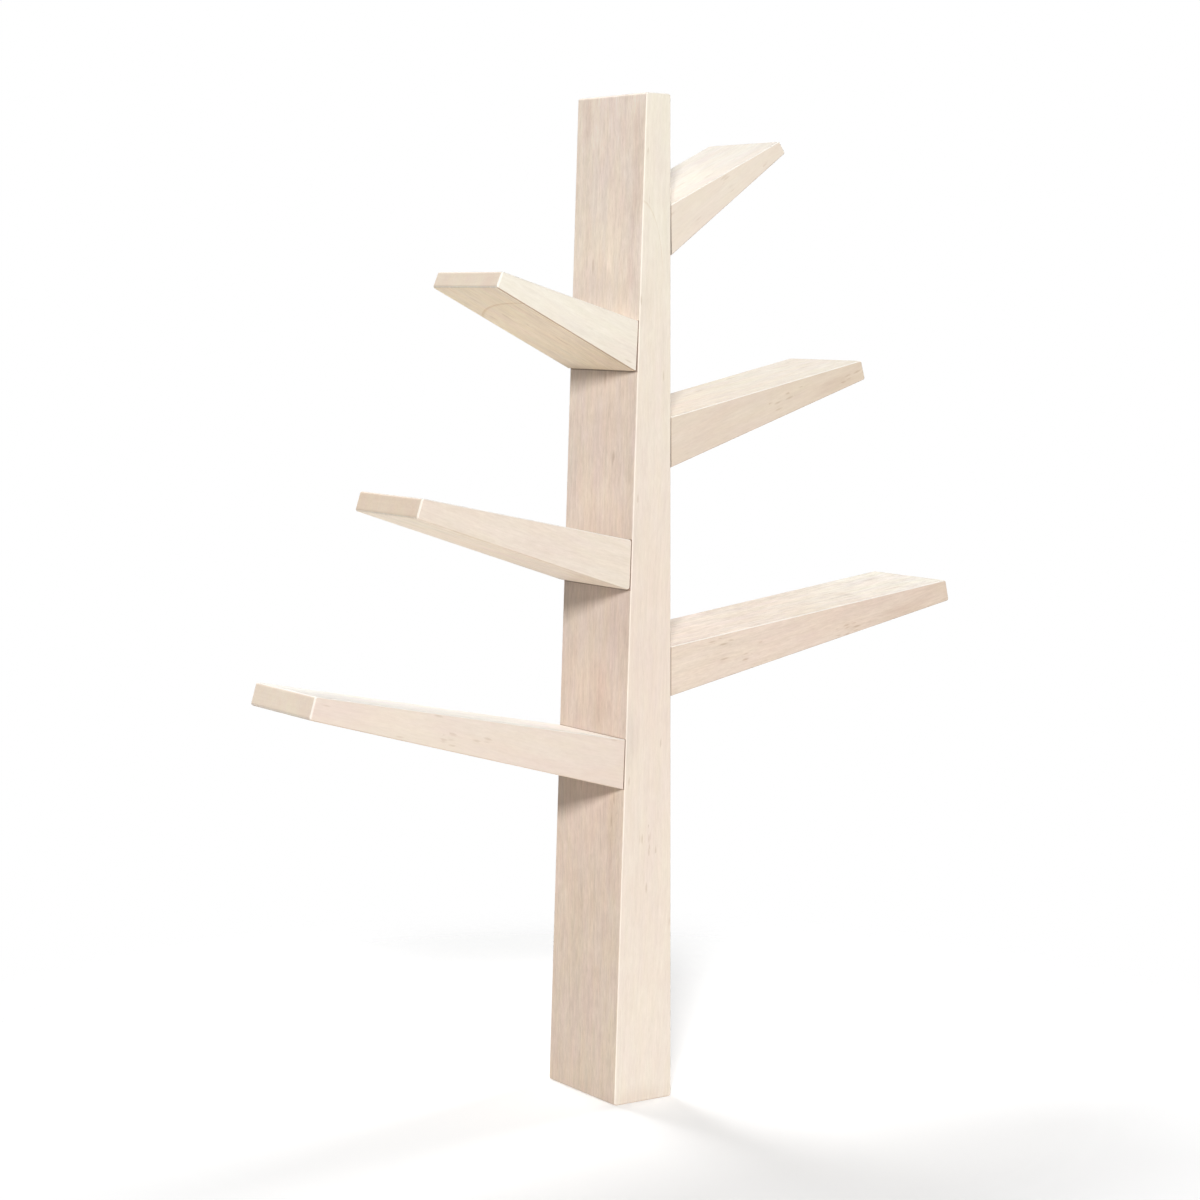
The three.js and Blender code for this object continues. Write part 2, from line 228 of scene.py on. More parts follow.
# Tints, which multiply a tone. The grain's green and blue are its lightness to these powers.
cream_tint, rosy_tint = (1.020, 1.038, 1.010, 1), (0.984, 0.944, 0.948, 1)
cool_tint, honey_tint = (0.996, 1.000, 1.024, 1), (1.006, 1.001, 0.974, 1)
# The stain tint also paints contact shade at the trunk's foot
stain_and_shade_tint = (0.925, 0.897, 0.885)
# This tint paints shade on the trunk's side just above the left branches' roots
painted_shade_tint = (0.76, 0.765, 0.78)
fleck_tint, fleck_strength = (0.74, 0.68, 0.62), 0.7
growth_line_tint = (0.86, 0.80, 0.72)
warming_powers = (1.12, 1.28)

# Colours of edges: pale wear together with a painted highlight, brown painted shade where an edge turns
# under, and warmth at the back. Then those of the dust and painted shade in the joints, and of the hardware
edge_wear_and_highlight, under_edge_shade_tone = (255, 251, 243), (148, 116, 88)
back_edge, back_edge_strength = (226, 190, 152), 0.45
joint_dust_and_shade_tone, joint_dust_and_shade_strength = (128, 98, 78), 0.68
beech_light, beech_dark, beech_rays = (222, 194, 152), (203, 168, 121), (150, 108, 66)
zinc_speck, zinc_cloud_depth = (128, 128, 130), 22
lacquer_ior = 1.46

# How far the dust and painted shade reach from the joints between branches and trunk, and how far on the
# right branches, where a wider band of painted shade shows beside the trunk's edge
joint_dust_and_shade = 0.00075
right_joint_dust_and_shade = 0.0023

# Seeds of the boards' figure: the trunk's, the first branch's, and the step from one branch to the next
trunk_seed, first_branch_seed, branch_seed_step = 1.0, 10.0, 7

# Places where dark flecks gather: board, side, pixel of the photograph, and half sizes along and across the
# grain and into the depth
fleck_marks = (
    ("trunk", front, (650, 838), (0.022, 0.020, 0.010)),
    ("trunk", left, (614, 803), (0.016, 0.010, 0.020)),
    ("branch_left_top", below, (514, 318), (0.020, 0.010, 0.024)),
    ("branch_left_top", below, (560, 340), (0.016, 0.010, 0.018)),
    ("branch_left_bottom", front, (450, 737), (0.020, 0.012, 0.010)),
    ("branch_right_middle", front, (784, 399), (0.026, 0.018, 0.010)),
    ("branch_right_middle", front, (845, 379), (0.010, 0.006, 0.010)),
    ("branch_right_bottom", above, (842, 595), (0.026, 0.010, 0.022)),
    ("branch_right_bottom", front, (851, 627), (0.030, 0.010, 0.010)),
    ("branch_right_bottom", front, (747, 656), (0.012, 0.005, 0.010)),
    ("branch_right_top", front, (729, 184), (0.018, 0.012, 0.010)),
    ("branch_right_top", front, (765, 162), (0.006, 0.006, 0.010)),
)

# Darker, rosier stains, given in the same way. The last trunk one paints contact shade at the trunk's foot.
stain_and_shade_marks = (
    ("trunk", left, (638, 150), (0.090, 0.020, 0.012)),
    ("trunk", left, (634, 222), (0.035, 0.020, 0.008)),
    ("trunk", left, (631, 273), (0.024, 0.020, 0.012)),
    ("trunk", left, (587, 122), (0.036, 0.020, 0.013)),
    ("trunk", left, (598, 690), (0.050, 0.020, 0.020)),
    ("trunk", left, (611, 840), (0.060, 0.020, 0.010)),
    # Painted contact shade at the trunk's foot, on its front and left side
    ("trunk", front, (645, 1099), (0.020, 0.060, 0.160)),
    ("branch_right_middle", front, (835, 384), (0.040, 0.010, 0.010)),
    ("branch_right_bottom", front, (900, 612), (0.050, 0.012, 0.010)),
)

# Painted shade on the trunk's side just above the roots of the left branches, given in the same way, and how
# strong it is there
painted_shade_marks = (
    ("trunk", left, (604, 296), (0.045, 0.030, 0.110), 0.55),
    ("trunk", left, (597, 534), (0.045, 0.030, 0.110), 0.50),
    ("trunk", left, (590, 732), (0.065, 0.030, 0.110), 0.95),
)

# Growth lines: board, side, pixel of the photograph at the ellipsoid's middle, and its half sizes along and
# across the grain and into the depth. The half of it that lies towards the board's tip shows.
growth_marks = (
    ("trunk", front, (638, 292), (0.098, 0.0332, 0.060)),
    ("branch_left_top", below, (583.5, 343.4), (0.095, 0.060, 0.150)),
)


# Points and outlines, in a board's own plane: X to the right and Z up

def node_points(node):
    """The corners of a CAD node's mesh at rest, each once."""
    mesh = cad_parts[node].data
    points = np.empty(3 * len(mesh.vertices), np.float32)
    mesh.vertices.foreach_get("co", points)
    return np.unique(np.round(points.reshape(-1, 3).astype(float), point_decimals), axis=0)


def turning(start, middle, end):
    return (middle[0] - start[0]) * (end[1] - start[1]) - (middle[1] - start[1]) * (end[0] - start[0])


def convex_outline(points):
    """The convex outline round some points, anticlockwise, without those on its straight sides."""
    def half(ordered):
        chain = []
        for point in ordered:
            while len(chain) > 1 and turning(chain[-2], chain[-1], point) <= straight_turn:
                chain.pop()
            chain.append(point)
        return chain[:-1]

    ordered = sorted(map(tuple, points))
    return half(ordered) + half(ordered[::-1])


def crossing(first, second):
    """Where the lines through two sides meet."""
    (a, b), (c, d) = first, second
    along, across = b - a, d - c
    return a + along * (across.cross(c - a) / across.cross(along))


def sharp_corners(points):
    """The four corners that a rounded four-sided outline's long sides would meet in, anticlockwise."""
    ring = [Vector(point) for point in convex_outline(points)]
    sides = [(ring[i - 1], ring[i]) for i in range(len(ring))]
    longest = sorted(range(len(sides)), key=lambda i: -(sides[i][1] - sides[i][0]).length)[:4]
    kept = [sides[i] for i in sorted(longest)]
    return [crossing(kept[i - 1], kept[i]) for i in range(4)]


def rounded(corners, radii, easings):
    """A rounded outline as (arc centre, direction out of it, radius, edge easing there), anticlockwise. radii
    has one value for each corner, and easings one for the side that starts there."""
    points = []
    for i, (corner, radius) in enumerate(zip(corners, radii)):
        to_last = (corners[i - 1] - corner).normalized()
        to_next = (corners[(i + 1) % len(corners)] - corner).normalized()
        half_angle = to_last.angle(to_next) / 2
        centre = corner + (to_last + to_next).normalized() * (radius / math.sin(half_angle))
        start = math.atan2(to_last.x, -to_last.y)
        sweep = math.pi - 2 * half_angle
        for step in range(corner_steps + 1):
            share = step / corner_steps
            angle = start + share * sweep
            easing = easings[i - 1] * (1 - share) + easings[i] * share
            points.append((centre, Vector((math.cos(angle), math.sin(angle))), radius, easing))
    return points


def capsule(width, length, middle_z):
    """An upright slot's outline with round ends, as arc centres and directions."""
    half = length / 2 - width / 2
    points = []
    for end, first_angle in ((half, 0), (-half, math.pi)):
        for step in range(round_steps // 2 + 1):
            angle = first_angle + math.pi * step / (round_steps // 2)
            out = Vector((math.cos(angle), math.sin(angle)))
            points.append((Vector((0, middle_z + end)), out, width / 2, plate_edge))
    return points


# Meshes

def linked(name, data):
    """A new object of the scene."""
    made = bpy.data.objects.new(name, data)
    bpy.context.scene.collection.objects.link(made)
    return made


def new_object(name, vertices, faces):
    mesh = bpy.data.meshes.new(name)
    mesh.from_pydata([tuple(v) for v in vertices], [], faces)
    work = bmesh.new()
    work.from_mesh(mesh)
    bmesh.ops.remove_doubles(work, verts=work.verts, dist=merge_distance)
    bmesh.ops.dissolve_degenerate(work, edges=work.edges, dist=shortest_edge)
    bmesh.ops.recalc_face_normals(work, faces=work.faces)
    work.to_mesh(mesh)
    work.free()
    return linked(name, mesh)


def stacked(name, rings, looped=False):
    """A closed skin through rings of equally many points. It has flat ends, or else runs into itself."""
    count = len(rings[0])
    vertices = [point for ring in rings for point in ring]
    total = len(vertices)
    faces = [] if looped else [tuple(range(count - 1, -1, -1)), tuple(range(total - count, total))]
    for low in range(0, total if looped else total - count, count):
        high = (low + count) % total
        for i in range(count):
            j = (i + 1) % count
            faces.append((low + i, low + j, high + j, high + i))
    return new_object(name, vertices, faces)


def eased_panel(name, outline, front_y, back_y):
    """A panel between two Y values with a rounded outline and eased edges."""
    quarter = [math.pi / 2 * step / easing_steps for step in range(easing_steps + 1)]
    turns = [(front_y, 1, angle) for angle in reversed(quarter)] + [(back_y, -1, angle) for angle in quarter]
    rings = []
    for face_y, inwards, angle in turns:
        ring = []
        for centre, out, radius, easing in outline:
            flat = centre + out * (radius - easing * (1 - math.cos(angle)))
            ring.append(Vector((flat.x, face_y + inwards * easing * (1 - math.sin(angle)), flat.y)))
        rings.append(ring)
    return stacked(name, rings)


def prism(name, outline, front_y, back_y):
    """A sharp-edged cutter with the outline of a panel."""
    flat = [centre + out * radius for centre, out, radius, _ in outline]
    return stacked(name, [[Vector((p.x, y, p.y)) for p in flat] for y in (front_y, back_y)])


def turned(name, profile, place, steps=round_steps, reshape=None, looped=False):
    """A piece turned round the X axis and moved from there to its place. Its profile of (distance along,
    radius) points has flat ends, or else is closed. reshape changes both for an angle."""
    rings = []
    for point in profile:
        ring = []
        for step in range(steps):
            angle = 2 * math.pi * step / steps
            along, radius = reshape(*point, angle) if reshape else point
            ring.append(Vector((along, radius * math.cos(angle), radius * math.sin(angle))))
        rings.append(ring)
    made = stacked(name, rings, looped)
    made.data.transform(place)
    return made


def cut_away(piece, cutters):
    """Takes the cutters out of a piece, one after the other, and deletes them."""
    for cutter in cutters:
        cut = piece.modifiers.new(cutter.name, "BOOLEAN")
        cut.operation = "DIFFERENCE"
        cut.solver = "EXACT"
        cut.object = cutter
    bpy.context.view_layer.update()
    whole = piece.evaluated_get(bpy.context.evaluated_depsgraph_get())
    mesh = bpy.data.meshes.new_from_object(whole)
    piece.modifiers.clear()
    piece.data = mesh
    for cutter in cutters:
        bpy.data.objects.remove(cutter)
    return piece


def finished(piece, material, node):
    """Shades a piece and puts it in its node's place."""
    mesh = piece.data
    mesh.materials.clear()
    mesh.materials.append(material)
    mesh.polygons.foreach_set("use_smooth", [True] * len(mesh.polygons))
    mesh.set_sharp_from_angle(angle=sharp_angle)
    weighted = piece.modifiers.new("face_normals", "WEIGHTED_NORMAL")
    weighted.keep_sharp = True
    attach(piece, "root")
    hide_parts(node)


# Places of the hardware, read from the CAD nodes

def place_at(origin, *axes):
    """The place with its origin at a point and its X, Y and Z along three axes."""
    return Matrix.Translation(origin) @ Matrix(axes).transposed().to_4x4()


def place_along(origin, axis):
    """The place with its origin at a point and its X along an axis."""
    up = axis.cross(right if abs(axis.y) > abs(axis.x) else back).normalized()
    return place_at(origin, axis, up.cross(axis), up)


def joint_place(part, joint):
    """The place of a long turned piece of a joint: a point of its axis, and X along it out of the trunk."""
    points = node_points(f"{part}_{joint}")
    middle = points.mean(0)
    _, _, directions = np.linalg.svd(points - middle)
    axis = Vector(directions[0]).normalized()
    outwards = 1 if joint.startswith("right") else -1
    return place_along(Vector(middle), axis if axis.x * outwards > 0 else -axis)


def extent(node, place):
    """Where along the X axis of a place a node starts and ends, and how far it reaches from that axis."""
    local = [place.inverted() @ Vector(point) for point in node_points(node)]
    along = [point.x for point in local]
    return min(along), max(along), max(math.hypot(point.y, point.z) for point in local)


def joint_piece(part, joint):
    """A piece of a joint: its node, place and extent there. Nuts and washers have the bolt's place."""
    node = f"{part}_{joint}"
    place = joint_place(part if part.startswith("dowel") else "hanger_bolt", joint)
    return (node, place, *extent(node, place))


def plate_screw(end, plate):
    """The same for a plate's screw. Its place has X out of the trunk's back."""
    node = f"plate_screw_{end}_{plate}"
    low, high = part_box(node)
    place = place_along((low + high) / 2, back)
    return (node, place, *extent(node, place))


def rod(name, place, start, end, radius):
    return turned(name, [(start, radius), (end, radius)], place)


def joint_cutters(joint):
    """Cutters for a joint's bores: its two dowels and its bolt, each with its clearance."""
    cutters = []
    for part in ("dowel_front", "dowel_rear", "hanger_bolt"):
        node, place, start, end, radius = joint_piece(part, joint)
        cutters.append(rod(f"cut_{node}", place, start - fit_gap, end + fit_gap, radius + fit_gap))
    return cutters


# Colours, written as the photograph shows them

def linear(red, green, blue):
    """An sRGB colour of 0 to 255 as the linear values that a shader takes."""
    def one(value):
        share = value / 255
        return share / 12.92 if share <= 0.04045 else ((share + 0.055) / 1.055) ** 2.4

    return (one(red), one(green), one(blue), 1)


# Nodes

class Nodes:
    """A node tree, made one value at a time. A value is a number, a vector or another node's output."""

    def __init__(self, tree):
        self.tree = tree

    def feed(self, inputs, values):
        """Feeds inputs with values, which are given by the inputs' names or numbers."""
        for key, value in values.items():
            if isinstance(value, bpy.types.NodeSocket):
                self.tree.links.new(value, inputs[key])
            else:
                inputs[key].default_value = value

    def node(self, kind, *values, **settings):
        """A new node. The values feed its first inputs."""
        made = self.tree.nodes.new(kind)
        for key, value in settings.items():
            setattr(made, key, value)
        self.feed(made.inputs, dict(enumerate(values)))
        return made

    def math(self, operation, *values, clamp=False):
        return self.node("ShaderNodeMath", *values, operation=operation, use_clamp=clamp).outputs[0]

    def times(self, first, second):
        return self.math("MULTIPLY", first, second)

    def minus(self, first, second):
        return self.math("SUBTRACT", first, second)

    def times_plus(self, first, second, added):
        return self.math("MULTIPLY_ADD", first, second, added)

    def livelier(self, value, middle, factor):
        """A value with its distance from a middle one multiplied."""
        return self.times_plus(self.minus(value, middle), factor, middle)

    def vector(self, operation, *values):
        made = self.node("ShaderNodeVectorMath", *values, operation=operation)
        return made.outputs["Value" if operation in ("LENGTH", "DOT_PRODUCT") else "Vector"]

    def parts(self, vector):
        return self.node("ShaderNodeSeparateXYZ", vector).outputs

    def joined(self, x, y, z):
        return self.node("ShaderNodeCombineXYZ", x, y, z).outputs[0]

    def ramp(self, value, low, high, start=0.0, stop=1.0):
        """A smooth step from start to stop, as a value goes from low to high."""
        values = (value, low, high, start, stop)
        return self.node("ShaderNodeMapRange", *values, interpolation_type="SMOOTHSTEP").outputs[0]

    def pattern(self, kind, place, stretch, seed, **inputs):
        """A texture node with that many features per metre along each axis. Each seed gives another one."""
        scaled = self.vector("MULTIPLY", place, stretch)
        moved = self.vector("ADD", scaled, [seed * share for share in seed_shares])
        made = self.node(kind)
        self.feed(made.inputs, {"Vector": moved, "Scale": 1.0, **inputs})
        return made

    def noise(self, place, stretch, detail, roughness, seed):
        """Noise of 0 to 1."""
        made = self.pattern("ShaderNodeTexNoise", place, stretch, seed, Detail=detail, Roughness=roughness)
        return made.outputs["Fac"]

    def spots(self, place, stretch, seed, chance, full, edge):
        """Spots in some of many Voronoi cells. They fade out between two distances from their middles."""
        cells = self.pattern("ShaderNodeTexVoronoi", place, stretch, seed).outputs
        kept = self.math("GREATER_THAN", chance, self.parts(cells["Color"])[0])
        return self.times(self.ramp(cells["Distance"], full, edge, 1.0, 0.0), kept)

    def mix(self, share, first, second):
        made = self.node("ShaderNodeMix", data_type="RGBA")
        inputs = {socket.identifier: socket for socket in made.inputs}
        self.feed(inputs, {"Factor_Float": share, "A_Color": first, "B_Color": second})
        return next(socket for socket in made.outputs if socket.identifier == "Result_Color")

    def tinted(self, share, tone, tint):
        """A tone that is multiplied by a tint, as far as the share says."""
        return self.mix(share, tone, self.vector("MULTIPLY", tone, tint))

    def seen(self):
        """1 for what the camera sees, in a gloss and through a glass too, and 0 for all other light."""
        path = self.node("ShaderNodeLightPath").outputs
        mirrored = self.math("MAXIMUM", path["Is Glossy Ray"], path["Is Transmission Ray"])
        return self.math("MAXIMUM", path["Is Camera Ray"], mirrored)


class Shader(Nodes):
    """A material's nodes."""

    def __init__(self, name):
        self.material = bpy.data.materials.new(name)
        self.material.use_nodes = True
        super().__init__(self.material.node_tree)
        self.surface = self.tree.nodes["Principled BSDF"]
        coordinates = self.node("ShaderNodeTexCoord").outputs
        self.on_object, self.normal = coordinates["Object"], coordinates["Normal"]

    def finish(self, height, strength, distance, looks):
        """Feeds the surface, also with a bump of that strength and of that distance for a height of 1."""
        bump = self.node("ShaderNodeBump")
        self.feed(bump.inputs, {"Height": height, "Strength": strength, "Distance": distance})
        self.feed(self.surface.inputs, {"Normal": bump.outputs[0], **looks})
        return self.material


# Wood

class WoodShader(Shader):
    """Washed pine. A board's look says where its grain runs, how its sides are toned and how it is marked."""

    def __init__(self, name, look):
        super().__init__(name)
        self.look = look
        self.layers = {}
        moves = (look.grain.translation, look.grain.to_euler())
        to_board = self.node("ShaderNodeMapping", self.on_object, *moves, vector_type="TEXTURE")
        self.place = to_board.outputs[0]

        # The fibres wander a little across the board
        wander = [self.times_plus(self.layer(name), fibre_wander, -fibre_wander / 2)
                  for name in ("sway", "drift")]
        self.bent = self.vector("ADD", self.place, self.joined(0.0, *wander))

        # Which side of the board it is: face, long side, underside or end grain
        _, self.backward, self.upward = self.parts(self.normal)
        self.facing = self.math("ABSOLUTE", self.backward)
        along = look.grain.col[0].to_3d()
        self.end_on = self.math("ABSOLUTE", self.vector("DOT_PRODUCT", self.normal, along))
        self.on_face = self.ramp(self.facing, 0.35, 0.80)
        self.on_end = self.ramp(self.end_on, 0.72, 0.94)
        self.off_face = self.math("SUBTRACT", self.minus(1.0, self.on_face), self.on_end, clamp=True)
        self.below = self.ramp(self.upward, -0.75, -0.35, 1.0, 0.0)

    def layer(self, name):
        """A layer of the wood's figure, which is made once."""
        if name not in self.layers:
            stretch, detail, roughness, seed = figure_layers[name]
            place = self.bent if name in fibre_layers else self.place
            self.layers[name] = self.noise(place, stretch, detail, roughness, self.look.seed + seed)
        return self.layers[name]

    def near(self, centre, size, full, edge, strength):
        """A strength that fades out from a mark's middle, between two shares of its size."""
        return self.ramp(self.off_centre(centre, size), full, edge, strength, 0.0)

    def off_centre(self, centre, size):
        """How far a place lies from an ellipsoid's middle, with 1 on its surface."""
        return self.vector("LENGTH", self.vector("DIVIDE", self.vector("SUBTRACT", self.place, centre), size))

    def along_board(self, share, colors):
        """A colour that runs through some colours, evenly spaced, as a share goes from 0 to 1."""
        if len(colors) == 1:
            return linear(*colors[0])
        made = self.node("ShaderNodeValToRGB", share)
        elements = made.color_ramp.elements
        while len(elements) < len(colors):
            elements.new(0.5)
        for number, (element, color) in enumerate(zip(elements, colors)):
            element.position = number / (len(colors) - 1)
            element.color = linear(*color)
        return made.outputs[0]


# The wood's look, one thing after the other. A function that is given a tone adds a thing to it.

def side_tone(s):
    """The tone of each side, as it changes along the board, with the painted light and shade that the tones
    hold.
    """
    share = s.math("DIVIDE", s.parts(s.place)[0], s.look.length, clamp=True)
    face, side, under, end = (s.along_board(share, colors) for colors in s.look.tones)
    tone = s.mix(s.below, s.mix(s.on_face, side, face), under)
    return s.mix(s.on_end, tone, end)


def clouded(s, tone):
    """Clouds, patches and streaks, cream or rosy, and others that are cooler or the colour of honey."""
    rosy = 0.0
    for name, low, high, share in rosy_layers:
        rosy = s.times_plus(s.ramp(s.layer(name), low, high), share, rosy)
    rosy = s.livelier(rosy, 0.5, s.times_plus(s.on_face, -0.35, 1.1))
    tone = s.vector("MULTIPLY", tone, s.mix(rosy, cream_tint, rosy_tint))
    honey = s.ramp(s.layer("honey"), 0.34, 0.66)
    honey = s.livelier(honey, 0.5, s.times_plus(s.off_face, 0.4, 0.45))
    return s.vector("MULTIPLY", tone, s.mix(honey, cool_tint, honey_tint))


def stained_and_shaded(s, tone):
    """Rosy stains, painted contact shade at the trunk's foot, and painted shade above the left branches'
    roots.
    """
    for centre, size, _ in s.look.stains:
        streaky = s.ramp(s.layer("streak"), 0.30, 0.60, 0.45, 1.0)
        stain = s.times(s.near(centre, size, 0.2, 1.1, 1.0), streaky)
        tone = s.tinted(stain, tone, stain_and_shade_tint)
    # Painted shade on the trunk's side above the left branches' roots
    for centre, size, _, strength in s.look.dusty:
        tone = s.tinted(s.near(centre, size, 0.1, 1.0, strength), tone, painted_shade_tint)
    return tone


def grained(s, tone):
    """Mottles, streaks, fibres, pores and a hair-fine grain, blotches on the long sides and rings on the
    end grain. What they darken turns warmer."""
    light = 1.0
    for name, strength in grain_strengths:
        strength *= s.look.figure
        light = s.times_plus(s.layer(name), strength, s.math("ADD", light, -strength / 2))
    contrast = s.times_plus(s.off_face, 1.1, s.times_plus(s.on_end, -0.4, 1.0))
    light = s.livelier(light, 1.0, contrast)
    for name, shown in (("blotch", s.off_face), ("rings", s.on_end)):
        strength = s.times(shown, side_strengths[name])
        light = s.times_plus(s.minus(s.layer(name), 0.5), strength, light)
    green, blue = (s.math("POWER", light, power) for power in warming_powers)
    return s.vector("MULTIPLY", tone, s.joined(light, green, blue))


def flecks(s):
    """Dark flecks: short dashes along the grain, sparse but for the places where they gather."""
    gather = s.ramp(s.layer("gather"), 0.64, 0.85, 0.0, 0.6)
    for centre, size, _ in s.look.flecks:
        gather = s.math("MAXIMUM", gather, s.near(centre, size, 0.35, 1.0, 1.3))
    chance = s.times_plus(gather, 0.38, 0.006)
    fleck = 0.0
    for stretch, shown in ((face_fleck_stretch, s.on_face), (side_fleck_stretch, s.off_face)):
        spots = s.spots(s.bent, stretch, s.look.seed + fleck_seed, chance, 0.15, 0.62)
        fleck = s.times_plus(spots, shown, fleck)
    return fleck


def growth_lined(s, tone):
    """Single growth lines: half a shell of a long ellipsoid round a point of the board."""
    for centre, size, direction in s.look.growth_lines:
        shell = s.off_centre(centre, size)
        line = s.times(s.ramp(shell, 0.965, 0.990), s.ramp(shell, 0.995, 1.010, 1.0, 0.0))
        offset = s.parts(s.vector("SUBTRACT", s.place, centre))[0]
        line = s.times(line, s.ramp(offset, 0.15 * size[0], 0.40 * size[0]))
        line = s.times(line, s.ramp(s.vector("DOT_PRODUCT", s.normal, direction), 0.6, 0.8))
        line = s.times(line, s.ramp(s.layer("patchy"), 0.25, 0.50, 0.35, 1.0))
        tone = s.tinted(s.times(line, s.times_plus(s.below, 0.5, 0.5)), tone, growth_line_tint)
    return tone


def edged(s, tone):
    """Eased edges: pale from wear and a painted highlight, most of all above, with painted shade in brown
    where they turn under, warm at the back.
    """
    eased = s.times(s.ramp(s.facing, 0.10, 0.35), s.ramp(s.facing, 0.88, 0.985, 1.0, 0.0))
    at_tip = s.times(s.ramp(s.end_on, 0.30, 0.48), s.ramp(s.end_on, 0.74, 0.90, 1.0, 0.0))
    eased = s.math("MAXIMUM", eased, s.times(at_tip, s.ramp(s.facing, 0.10, 0.35, 0.2, 0.0)))
    downwards = s.ramp(s.upward, -0.45, -0.12, 1.0, 0.0)
    backwards = s.ramp(s.backward, 0.1, 0.3)
    wear_and_highlight = s.times(eased, s.minus(1.0, s.math("MAXIMUM", downwards, backwards)))
    # The painted highlight is strongest where an edge faces up
    wear_and_highlight = s.times(wear_and_highlight, s.ramp(s.upward, 0.1, 0.4, 0.22, 0.85))
    warm = s.times(s.times(eased, backwards), back_edge_strength)
    # Painted shade in brown where an edge turns under
    under_shade = s.times(s.times(eased, downwards), s.look.edge_line)
    for share, color in ((wear_and_highlight, edge_wear_and_highlight), (warm, back_edge), (under_shade, under_edge_shade_tone)):
        tone = s.mix(share, tone, linear(*color))
    return tone


def dusty_at_joints(s, tone):
    """Dust and painted shade in the joints. On a branch it lies near the trunk's side, on the right branches
    in a wider band beside the trunk's edge. On the trunk it lies past the branch's root, which meets the
    trunk between the two heights that come with a joint plane."""
    for point, outwards, root_low, root_high in s.look.joint_planes:
        depth = s.vector("DOT_PRODUCT", s.vector("SUBTRACT", s.on_object, point), outwards)
        if s.look.joined_into:
            reach_out = right_joint_dust_and_shade if outwards.x > 0 else joint_dust_and_shade
            dust = s.ramp(depth, reach_out * 0.3, reach_out, 1.0, 0.0)
        else:
            off_middle = s.minus(s.parts(s.on_object)[2], (root_low + root_high) / 2)
            past = s.minus(s.math("ABSOLUTE", off_middle), (root_high - root_low) / 2)
            dust = s.times(s.ramp(depth, -0.4 * joint_dust_and_shade, -0.05 * joint_dust_and_shade),
                           s.ramp(past, joint_dust_and_shade * 0.4, joint_dust_and_shade, 1.0, 0.0))
        tone = s.mix(s.times(dust, joint_dust_and_shade_strength), tone, linear(*joint_dust_and_shade_tone))
    return tone


def wood_shader(name, look):
    """The finished material of a board."""
    s = WoodShader(name, look)
    tone = grained(s, stained_and_shaded(s, clouded(s, side_tone(s))))
    fleck = flecks(s)
    tone = s.tinted(s.times(fleck, fleck_strength * min(1.0, look.figure)), tone, fleck_tint)
    tone = dusty_at_joints(s, edged(s, growth_lined(s, tone)))
    height = s.minus(s.times_plus(s.layer("pores"), 0.6, s.times(s.layer("hair"), 0.4)), fleck)
    roughness = s.times_plus(s.layer("fibre"), 0.12, 0.46)
    looks = {"Base Color": tone, "Roughness": roughness, "IOR": lacquer_ior}
    return s.finish(height, strength=0.30, distance=0.00025, looks=looks)


def dowel_shader():
    """Bare turned beech: short dark rays along the grain and a dry surface."""
    s = Shader("turned_beech")
    fibre = s.noise(s.on_object, (40, 900, 900), detail=3.0, roughness=0.5, seed=4)
    rays = s.spots(s.on_object, (300, 1400, 1400), seed=9, chance=0.5, full=0.1, edge=0.45)
    tone = s.mix(fibre, linear(*beech_light), linear(*beech_dark))
    tone = s.mix(s.times(rays, 0.4), tone, linear(*beech_rays))
    looks = {"Base Color": tone, "Roughness": s.times_plus(fibre, 0.15, 0.62)}
    return s.finish(fibre, strength=0.3, distance=0.0002, looks=looks)


def zinc_shader(name, seed, tint, roughness):
    """Bright zinc plate: a cloudy sheen, fine tumbling scratches and duller specks."""
    s = Shader(name)
    cloud = s.noise(s.on_object, (160, 160, 160), detail=3.0, roughness=0.5, seed=seed)
    scratch = s.noise(s.on_object, (900, 5200, 2600), detail=2.0, roughness=0.5, seed=seed + 3)
    speck = s.spots(s.on_object, (900, 900, 900), seed=seed + 5, chance=0.16, full=0.1, edge=0.5)
    tone = s.mix(cloud, linear(*tint), linear(*(value - zinc_cloud_depth for value in tint)))
    tone = s.mix(s.times(speck, 0.3), tone, linear(*zinc_speck))
    rough = s.times_plus(speck, 0.12, s.times_plus(cloud, 0.18, roughness))
    height = s.times_plus(scratch, 0.6, s.times(speck, -0.4))
    looks = {"Base Color": tone, "Roughness": rough, "Metallic": 1.0}
    return s.finish(height, strength=0.15, distance=0.0001, looks=looks)


# Camera

def camera_axes():
    """The camera's right, down and forward directions."""
    forward = Vector((
        math.sin(camera_yaw) * math.cos(camera_pitch),
        math.cos(camera_yaw) * math.cos(camera_pitch),
        -math.sin(camera_pitch),
    ))
    level = Vector((math.cos(camera_yaw), -math.sin(camera_yaw), 0))
    level_down = forward.cross(level)
    across = math.cos(camera_roll) * level + math.sin(camera_roll) * level_down
    down = -math.sin(camera_roll) * level + math.cos(camera_roll) * level_down
    return across, down, forward


def make_camera():
    across, down, forward = camera_axes()
    data = bpy.data.cameras.new("camera")
    data.sensor_width = sensor_width_mm
    data.lens = sensor_width_mm * focal_length_px / photo_size_px
    camera = linked("camera", data)
    camera.matrix_world = place_at(camera_place, across, -down, -forward)
    bpy.context.scene.camera = camera


def seen_at(pixel, plane_point, plane_normal):
    """The point of a plane that the photograph shows at a pixel."""
    across, down, forward = camera_axes()
    middle = photo_size_px / 2
    ray = forward * focal_length_px + across * (pixel[0] - middle) + down * (pixel[1] - middle)
    return camera_place + ray * ((plane_point - camera_place).dot(plane_normal) / ray.dot(plane_normal))


# Boards

